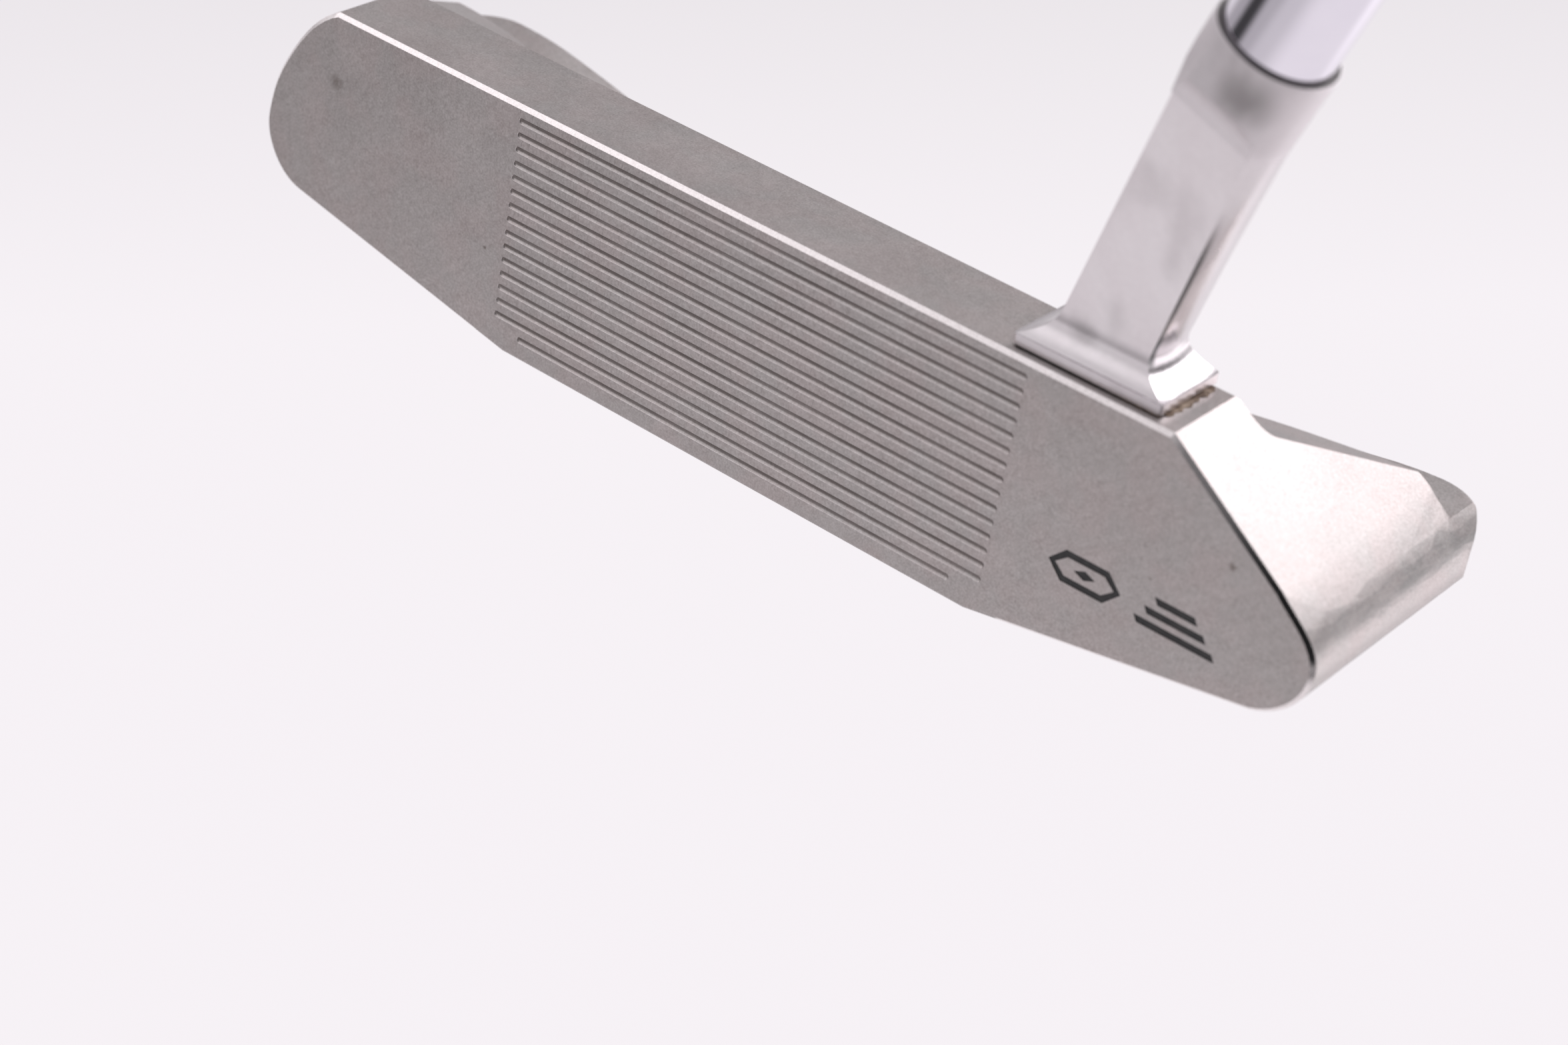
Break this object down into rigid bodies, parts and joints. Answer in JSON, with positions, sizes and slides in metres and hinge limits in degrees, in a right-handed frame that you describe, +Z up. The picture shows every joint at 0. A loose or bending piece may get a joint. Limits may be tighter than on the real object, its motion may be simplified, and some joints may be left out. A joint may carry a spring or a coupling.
{
  "type": "blade putter",
  "caption": "Right-handed blade putter: milled steel head with grooved face and rear flange, bolted-on neck, stepped steel shaft and pistol grip.",
  "frame": {"origin": "middle of the flat part of the sole, between its front and rear edges, under the middle of the face grooves", "axes": "+X runs from toe to heel, -Y is the direction the face points (the target), +Z is up with the sole flat on the ground; the shaft rises toward +X at 70 degrees"},
  "size_m": [0.3934, 0.0417, 0.8148],
  "materials": {
    "milled_steel": "satin, finely milled; lines of milling across the face, bead-blasted elsewhere",
    "polished_steel": "hand polished, slightly smudged",
    "weight_steel": "turned, fine circular lines",
    "black_oxide_steel": "black oxide socket screw",
    "shaft_chrome": "bright chrome plate on steel tube",
    "black_paint": "matt black paint in the engraving",
    "white_paint": "white paint in the sight line",
    "black_rubber": "nitrile o-ring",
    "cap_rubber": "moulded rubber",
    "dark_sealant": "dark bead of sealant",
    "brown_residue": "thin dried brown film",
    "epoxy": "cured amber epoxy",
    "foam": "closed-cell foam",
    "foam_core": "EVA foam",
    "grip_tape": "cream double-sided crepe tape",
    "grip_skin": "polyurethane skin, fine pebble texture"
  },
  "bodies": {
    "root": {"head": "milled_steel", "face_mark_fill": "black_paint", "sight_line_fill": "white_paint", "toe_sole_weight": "weight_steel", "heel_sole_weight": "weight_steel", "weight_o_rings": "black_rubber", "neck": "polished_steel", "neck_joint_residue": "brown_residue", "neck_screw": "black_oxide_steel", "shaft": "shaft_chrome", "shaft_bond": "epoxy", "shaft_damping_plug": "foam", "shaft_seal_ring": "dark_sealant", "grip_tape": "grip_tape", "grip_core": "foam_core", "grip_skin": "grip_skin", "grip_end_cap": "cap_rubber", "butt_plug": "cap_rubber"}
  },
  "joints": []
}
